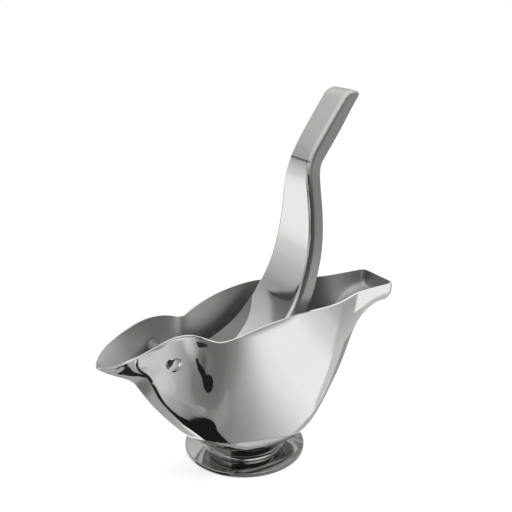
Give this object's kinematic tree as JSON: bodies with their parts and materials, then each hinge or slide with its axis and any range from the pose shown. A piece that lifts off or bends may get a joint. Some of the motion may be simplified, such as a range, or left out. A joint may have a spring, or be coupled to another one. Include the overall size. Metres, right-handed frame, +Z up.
{
  "type": "lemon squeezer",
  "caption": "Bird-shaped steel hand squeezer: a footed bowl with a pouring beak and a hinged lever with a broad presser.",
  "frame": {"origin": "on the table, below the middle of the body: halfway between the tip of the beak and the end of the tail, in the plane of symmetry", "axes": "+Z up; the beak points along -X and the tail along +X; +Y is the far side in the picture; the lever turns about an axis along Y"},
  "size_m": [0.1182, 0.045, 0.131],
  "materials": {
    "polished_steel": "stainless steel, mirror polished outside and satin inside",
    "foot_steel": "stainless steel, polished",
    "rivet_steel": "stainless steel, polished dome",
    "satin_steel": "stainless steel, polished face, satin grip and skirts",
    "sleeve_steel": "stainless steel tube, plain turned"
  },
  "bodies": {
    "base": {"bowl": "polished_steel", "foot": "foot_steel", "hinge_rivet": "rivet_steel"},
    "lever": {"lever": "satin_steel", "hinge_sleeve": "sleeve_steel"}
  },
  "joints": [
    {"name": "lever_hinge", "type": "hinge", "parent": "base", "child": "lever", "pos_m": [-0.03536, 0, 0.04599], "axis": [0, 1, 0], "range_deg": [-90, 35]}
  ]
}
